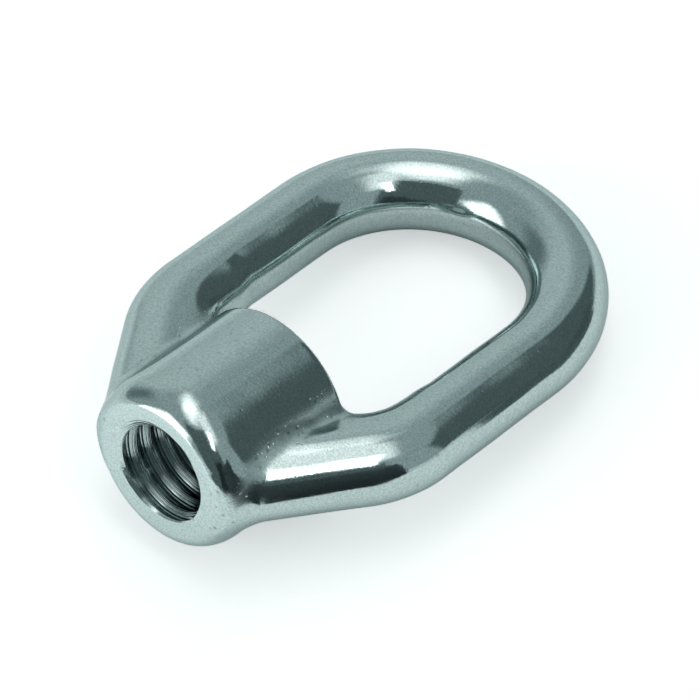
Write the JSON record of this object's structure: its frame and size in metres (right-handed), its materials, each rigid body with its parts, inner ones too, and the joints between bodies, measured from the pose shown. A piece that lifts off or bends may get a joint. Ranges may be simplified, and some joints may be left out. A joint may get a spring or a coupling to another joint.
{
  "type": "eye nut",
  "caption": "Cast stainless eye nut: round tapped boss with two necks opening into a long closed eye of round bar, for shackles and rope on a stud.",
  "frame": {"origin": "middle of the thread's mouth, on the flat seat face", "axes": "+Y along the thread's axis into the eye, +Z square to the eye's plane, +X across the eye; the nut lies on its side"},
  "size_m": [0.025, 0.0368, 0.012],
  "materials": {
    "polished_stainless": "cast, tumbled and polished, with fine pits by the creases"
  },
  "bodies": {
    "root": {"eye_nut": "polished_stainless"}
  },
  "joints": []
}
